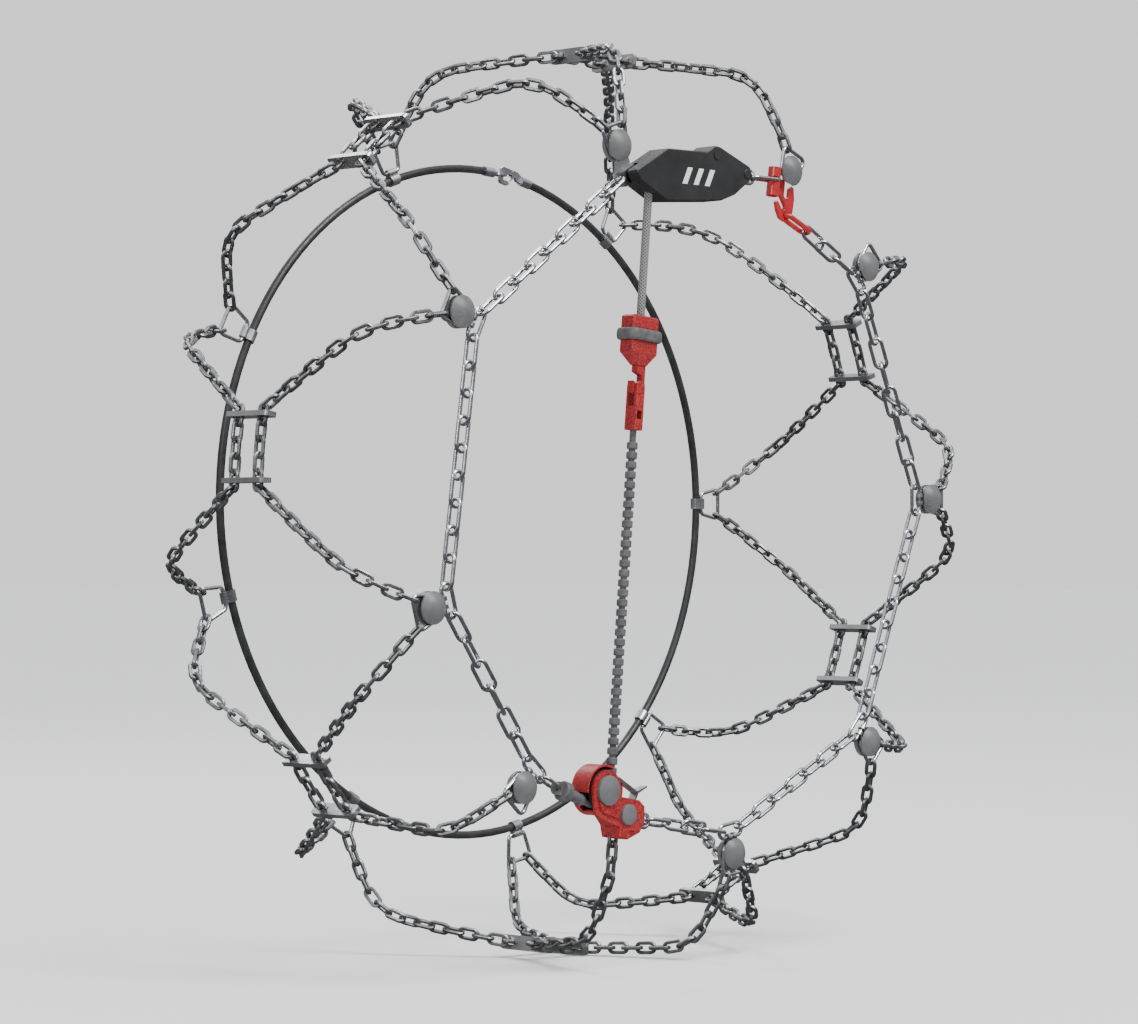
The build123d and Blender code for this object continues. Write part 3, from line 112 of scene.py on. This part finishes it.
room.links.new(path.outputs["Is Camera Ray"], either.inputs[0])
room.links.new(lit.outputs[0], either.inputs[1])
room.links.new(seen.outputs[0], either.inputs[2])
room.links.new(either.outputs[0], room.nodes["World Output"].inputs["Surface"])
bpy.context.scene.world = world
sun_lamp = bpy.data.lights.new("sun", "SUN")
sun_lamp.energy = 2.7
sun_lamp.angle = 0.5
sun = bpy.data.objects.new("sun", sun_lamp)
sun.rotation_euler = Vector((-0.05, 0.62, -1.0)).to_track_quat("-Z", "Y").to_euler()
bpy.context.scene.collection.objects.link(sun)
for name, place, size, power in (
    ("key", (0.5, -3.0, 2.6), 1.2, 60.0),
    ("fill", (-3.4, -1.4, 1.6), 1.1, 34.0),
    ("strip", (0.8, 2.6, 2.6), 1.2, 40.0),
):
    lamp = bpy.data.lights.new(name, "AREA")
    lamp.size = size
    lamp.energy = power
    light = bpy.data.objects.new(name, lamp)
    light.location = place
    light.rotation_euler = (-Vector(place)).to_track_quat("-Z", "Y").to_euler()
    bpy.context.scene.collection.objects.link(light)


# Tread links: squared hardened wire, dark from the furnace oil, bright where the road side has rubbed.
# Each link is cut, bent and welded, and hangs in its neighbours.
def start_material(name, metallic):
    mat = bpy.data.materials.new(name)
    mat.use_nodes = True
    shader = mat.node_tree.nodes["Principled BSDF"]
    shader.inputs["Metallic"].default_value = metallic
    return mat, mat.node_tree, shader


def add_node(tree, kind, **settings):
    node = tree.nodes.new(kind)
    for key, value in settings.items():
        setattr(node, key, value)
    return node


def noise(tree, vector, scale, detail=4.0, rough=0.55):
    node = add_node(tree, "ShaderNodeTexNoise")
    node.inputs["Scale"].default_value = scale
    node.inputs["Detail"].default_value = detail
    node.inputs["Roughness"].default_value = rough
    tree.links.new(vector, node.inputs["Vector"])
    return node.outputs["Fac"]


def spread(tree, value, low, high, to_low=0.0, to_high=1.0):
    node = add_node(tree, "ShaderNodeMapRange")
    node.inputs["From Min"].default_value = low
    node.inputs["From Max"].default_value = high
    node.inputs["To Min"].default_value = to_low
    node.inputs["To Max"].default_value = to_high
    tree.links.new(value, node.inputs["Value"])
    return node.outputs["Result"]


def calculate(tree, operation, first, second):
    node = add_node(tree, "ShaderNodeMath", operation=operation)
    for socket, value in zip(node.inputs, (first, second)):
        if isinstance(value, (int, float)):
            socket.default_value = value
        else:
            tree.links.new(value, socket)
    return node.outputs["Value"]


def blend_colours(tree, share, first, second):
    node = add_node(tree, "ShaderNodeMix", data_type="RGBA")
    tree.links.new(share, node.inputs["Factor"])
    for socket, value in ((node.inputs["A"], first), (node.inputs["B"], second)):
        if isinstance(value, tuple):
            socket.default_value = (*value, 1)
        else:
            tree.links.new(value, socket)
    return node.outputs["Result"]


def colour(tree, shader, value, low, high, first, second):
    tint = blend_colours(tree, spread(tree, value, low, high), first, second)
    tree.links.new(tint, shader.inputs["Base Color"])


def polish(tree, shader, value, smooth, rough, low=0.3, high=0.7):
    tree.links.new(spread(tree, value, low, high, smooth, rough), shader.inputs["Roughness"])


def raise_surface(tree, shader, height, strength, distance):
    node = add_node(tree, "ShaderNodeBump")
    node.inputs["Strength"].default_value = strength
    node.inputs["Distance"].default_value = distance
    tree.links.new(height, node.inputs["Height"])
    tree.links.new(node.outputs["Normal"], shader.inputs["Normal"])


def object_place(tree, scale=(1, 1, 1), turn=(0, 0, 0)):
    source = add_node(tree, "ShaderNodeTexCoord")
    mapping = add_node(tree, "ShaderNodeMapping")
    mapping.inputs["Scale"].default_value = scale
    mapping.inputs["Rotation"].default_value = turn
    tree.links.new(source.outputs["Object"], mapping.inputs["Vector"])
    return mapping.outputs["Vector"]


def dress(material, *names):
    for name in names:
        mesh = nodes[name].data
        mesh.materials.clear()
        mesh.materials.append(material)


chain, tree, shader = start_material("hardened_chain", 1.0)
place = object_place(tree)
source = add_node(tree, "ShaderNodeTexCoord")
flat = add_node(tree, "ShaderNodeVectorMath", operation="MULTIPLY")
flat.inputs[1].default_value = (1, 0, 1)
tree.links.new(source.outputs["Object"], flat.inputs[0])
outward = add_node(tree, "ShaderNodeVectorMath", operation="NORMALIZE")
tree.links.new(flat.outputs["Vector"], outward.inputs[0])
facing = add_node(tree, "ShaderNodeVectorMath", operation="DOT_PRODUCT")
geometry = add_node(tree, "ShaderNodeNewGeometry")
tree.links.new(outward.outputs["Vector"], facing.inputs[0])
tree.links.new(geometry.outputs["Normal"], facing.inputs[1])
road_side = spread(tree, facing.outputs["Value"], 0.55, 0.95)
rubbed = spread(tree, calculate(tree, "MULTIPLY", road_side, noise(tree, place, 260.0)), 0.25, 0.6)
cloud = spread(tree, noise(tree, place, 90.0), 0.35, 0.65)
stain = blend_colours(tree, cloud, (0.22, 0.223, 0.228), (0.40, 0.404, 0.41))
tree.links.new(blend_colours(tree, rubbed, stain, (0.62, 0.62, 0.62)), shader.inputs["Base Color"])
polish(tree, shader, noise(tree, place, 420.0), 0.28, 0.48)
raise_surface(tree, shader, noise(tree, place, 1500.0), 0.35, 0.0004)
dress(chain, *[name for name in nodes if name.startswith("tread_net")])

# Cross bars: ground flat steel, two drilled slots each, threaded over the rung chains before welding.
bar, tree, shader = start_material("ground_bar", 1.0)
grain = noise(tree, object_place(tree, (300, 40, 300)), 6.0, 6.0)
place = object_place(tree)
colour(tree, shader, noise(tree, place, 55.0), 0.35, 0.7, (0.48, 0.48, 0.49), (0.66, 0.66, 0.66))
polish(tree, shader, grain, 0.24, 0.46)
raise_surface(tree, shader, grain, 0.3, 0.0003)
dress(bar, *[name for name in nodes if name.startswith("cross_bars")])

# Side chain, rings and single links: round wire with bright zinc, slightly cloudy, fine drawing lines.
zinc, tree, shader = start_material("bright_zinc", 1.0)
place = object_place(tree)
colour(tree, shader, noise(tree, place, 140.0), 0.35, 0.7, (0.50, 0.51, 0.53), (0.74, 0.75, 0.77))
polish(tree, shader, noise(tree, place, 300.0), 0.14, 0.30)
raise_surface(tree, shader, noise(tree, place, 900.0), 0.2, 0.0003)
dress(zinc, *[name for name in nodes if name.startswith("side_chain")])
dress(zinc, "front_rings", "rear_rings", "plate_link", "closing_link", "strand_link")

# Clamps and crown bracket: pressed zinc plated sheet, folded round the wires, with handling scratches.
sheet, tree, shader = start_material("pressed_sheet", 1.0)
place = object_place(tree)
scratches = noise(tree, object_place(tree, (1, 1, 14), (0.3, 0.7, 0.2)), 160.0, 8.0, 0.7)
colour(tree, shader, noise(tree, place, 110.0), 0.3, 0.7, (0.44, 0.45, 0.47), (0.66, 0.67, 0.69))
polish(tree, shader, scratches, 0.2, 0.42, 0.35, 0.65)
raise_surface(tree, shader, scratches, 0.25, 0.0002)
dress(sheet, "ring_clamps", "hoop_clamps", "bracket", "plate_pawl", "cord_ferrule", "release_lever")
dress(sheet, "hoop_eye_end", "hoop_hook_end")

# Bumpers: satin grey nylon moulded with a fine grain, stem pressed into the backing disc.
nylon, tree, shader = start_material("grey_nylon", 0.0)
place = object_place(tree)
colour(tree, shader, noise(tree, place, 60.0), 0.3, 0.7, (0.09, 0.091, 0.092), (0.125, 0.126, 0.127))
polish(tree, shader, noise(tree, place, 500.0), 0.34, 0.5)
raise_surface(tree, shader, noise(tree, place, 2600.0), 0.25, 0.0003)
dress(nylon, "bumper_caps", "bumper_backings", "tensioner_caps")

# Plate housing: two dark glass-filled shells with a spark-eroded grain, pinned together over the toothed
# tail. Pins and roller are moulded from the same stock.
shell, tree, shader = start_material("dark_shell", 0.0)
place = object_place(tree)
colour(tree, shader, noise(tree, place, 45.0), 0.3, 0.7, (0.010, 0.010, 0.011), (0.020, 0.020, 0.021))
polish(tree, shader, noise(tree, place, 700.0), 0.38, 0.56)
raise_surface(tree, shader, noise(tree, place, 1800.0), 0.4, 0.0004)
dress(shell, "plate_base", "plate_cover", "plate_pins", "tensioner_roller")

# Plate mark: three slanted bars printed in pale grey on the front face, standing a hair proud of it.
mark_mesh = bpy.data.meshes.new("plate_mark")
shape = bmesh.new()
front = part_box("plate_cover")[0].y
bar_foot, bar_head = 0.2625, 0.2765
proud, sunk = 0.00005, 0.0002
for middle in (-0.030, -0.016, -0.002):
    corners = []
    for x, z in ((-0.0065, bar_foot), (-0.0005, bar_foot), (0.0065, bar_head), (0.0005, bar_head)):
        corners.append(shape.verts.new((middle + x, front - proud, z)))
    face = shape.faces.new(corners)
    bmesh.ops.extrude_face_region(shape, geom=[face])
    for corner in corners:
        corner.co.y = front + sunk
bmesh.ops.recalc_face_normals(shape, faces=shape.faces)
shape.to_mesh(mark_mesh)
shape.free()
mark = bpy.data.objects.new("plate_mark", mark_mesh)
bpy.context.scene.collection.objects.link(mark)
ink, tree, shader = start_material("pale_print", 0.0)
place = object_place(tree)
colour(tree, shader, noise(tree, place, 500.0), 0.3, 0.7, (0.62, 0.62, 0.62), (0.74, 0.74, 0.74))
shader.inputs["Roughness"].default_value = 0.55
mark_mesh.materials.append(ink)
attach(mark, "net")

# Red mouldings: coarse leather grain on cap, connector and tensioner, paler where the tool rubbed.
red, tree, shader = start_material("red_moulding", 0.0)
place = object_place(tree)
grain = noise(tree, place, 620.0, 2.0)
colour(tree, shader, grain, 0.35, 0.7, (0.17, 0.004, 0.006), (0.42, 0.022, 0.022))
polish(tree, shader, grain, 0.34, 0.55)
raise_surface(tree, shader, grain, 0.55, 0.0006)
dress(red, "pull_cap", "lower_connector", "tensioner_body", "tensioner_cover")

# Hook and coated link: pressed steel and wire dipped in glossy red, a little uneven from the bath.
dip, tree, shader = start_material("red_dip", 0.0)
place = object_place(tree)
colour(tree, shader, noise(tree, place, 120.0), 0.3, 0.7, (0.30, 0.006, 0.009), (0.42, 0.014, 0.017))
polish(tree, shader, noise(tree, place, 200.0), 0.22, 0.38)
shader.inputs["Coat Weight"].default_value = 0.35
raise_surface(tree, shader, noise(tree, place, 260.0), 0.3, 0.0004)
dress(dip, "closing_hook", "coated_link")

# Elastic cord: latex core under a grey braid of crossing yarns, gripped by a ferrule inside the plate.
# The yarns are drawn round the leaning line of the cord.
cord_place = (-0.067, -0.139, 0.247)
cord_lean = 0.0938
cord_way = (0.0937, 0, 0.9956)
yarns_round = 7.0
yarn_rise = 2300.0
braid, tree, shader = start_material("cord_braid", 0.0)
parts = add_node(tree, "ShaderNodeSeparateXYZ")
centred = add_node(tree, "ShaderNodeVectorMath", operation="SUBTRACT")
centred.inputs[1].default_value = cord_place
source = add_node(tree, "ShaderNodeTexCoord")
turned = add_node(tree, "ShaderNodeVectorRotate", rotation_type="Y_AXIS")
turned.inputs["Angle"].default_value = -cord_lean
tree.links.new(source.outputs["Object"], centred.inputs[0])
tree.links.new(centred.outputs["Vector"], turned.inputs["Vector"])
tree.links.new(turned.outputs["Vector"], parts.inputs["Vector"])
angle = calculate(tree, "ARCTAN2", parts.outputs["X"], parts.outputs["Y"])
around = calculate(tree, "MULTIPLY", angle, yarns_round)
along = calculate(tree, "MULTIPLY", parts.outputs["Z"], yarn_rise)
left = calculate(tree, "SINE", calculate(tree, "ADD", around, along), 0.0)
right = calculate(tree, "SINE", calculate(tree, "SUBTRACT", around, along), 0.0)
weave = calculate(tree, "MAXIMUM", left, right)
colour(tree, shader, weave, -0.3, 1.0, (0.05, 0.05, 0.053), (0.25, 0.25, 0.255))
shader.inputs["Roughness"].default_value = 0.85
raise_surface(tree, shader, weave, 0.8, 0.0004)
dress(braid, "elastic_cord")

# Beaded strand: moulded rubber, chalky in the hollows. The grip band is cast from the same rubber.
rubber, tree, shader = start_material("dark_rubber", 0.0)
place = object_place(tree)
colour(tree, shader, noise(tree, place, 180.0), 0.3, 0.7, (0.055, 0.055, 0.057), (0.105, 0.105, 0.108))
polish(tree, shader, noise(tree, place, 400.0), 0.48, 0.7)
raise_surface(tree, shader, noise(tree, place, 1200.0), 0.3, 0.0004)
dress(rubber, "tension_strand")

# Grip band: a thick round-edged ring of rubber stretched into the groove of the cap. It is full and soft
# in section, so it is built here rounder than a cut strip, about the same middle and axis.
band_low, band_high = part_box("grip_band")
band_middle = (band_low + band_high) / 2
upward = Vector(cord_way).normalized()
sideways = Vector((upward.z, 0, -upward.x))
half_wide, half_deep, corner = 17.0, 9.4, 4.5
half_thick, half_high, fullness = 2.3, 4.9, 2.6
corner_steps, section_steps = 12, 28
rim = []
for turn, (cx, cy) in enumerate(((1, 1), (-1, 1), (-1, -1), (1, -1))):
    for step in range(corner_steps + 1):
        angle = math.radians(90 * turn + 90 * step / corner_steps)
        away = Vector((math.cos(angle), math.sin(angle)))
        middle = Vector((cx * (half_wide - corner), cy * (half_deep - corner)))
        rim.append((middle + away * corner, away))
band_mesh = bpy.data.meshes.new("grip_band_round")
shape = bmesh.new()
hoops = []
for point, away in rim:
    hoop = []
    for step in range(section_steps):
        angle = 2 * math.pi * step / section_steps
        out, up = math.cos(angle), math.sin(angle)
        bulge = 1 / (abs(out) ** fullness + abs(up) ** fullness) ** (1 / fullness)
        across = (point + away * (half_thick * bulge * out)) / 1000
        place = band_middle + sideways * across.x + Vector((0, across.y, 0))
        hoop.append(shape.verts.new(place + upward * (half_high * bulge * up / 1000)))
    hoops.append(hoop)
for index, hoop in enumerate(hoops):
    after = hoops[(index + 1) % len(hoops)]
    for step in range(section_steps):
        beside = (step + 1) % section_steps
        shape.faces.new((hoop[step], after[step], after[beside], hoop[beside]))
bmesh.ops.recalc_face_normals(shape, faces=shape.faces)
for face in shape.faces:
    face.smooth = True
shape.to_mesh(band_mesh)
shape.free()
band = bpy.data.objects.new("grip_band_round", band_mesh)
bpy.context.scene.collection.objects.link(band)
band_mesh.materials.append(rubber)
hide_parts("grip_band")
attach(band, "cap")

# Springs, pins, hoop core and gate: bright drawn steel, with a faint cloud from the die.
drawn, tree, shader = start_material("drawn_steel", 1.0)
place = object_place(tree)
colour(tree, shader, noise(tree, place, 200.0), 0.3, 0.7, (0.52, 0.52, 0.54), (0.68, 0.68, 0.70))
polish(tree, shader, noise(tree, place, 500.0), 0.2, 0.36)
dress(drawn, "pawl_spring", "lever_spring", "lever_pin", "housing_pins", "hoop_cable", "hoop_gate")

# Rear hoop sheath: black extruded tube over the steel core, lightly scuffed.
tube, tree, shader = start_material("black_tube", 0.0)
place = object_place(tree)
colour(tree, shader, noise(tree, place, 70.0), 0.3, 0.7, (0.012, 0.012, 0.013), (0.03, 0.03, 0.031))
polish(tree, shader, noise(tree, place, 350.0), 0.3, 0.5)
raise_surface(tree, shader, noise(tree, place, 1400.0), 0.2, 0.0003)
dress(tube, "hoop_sheath")
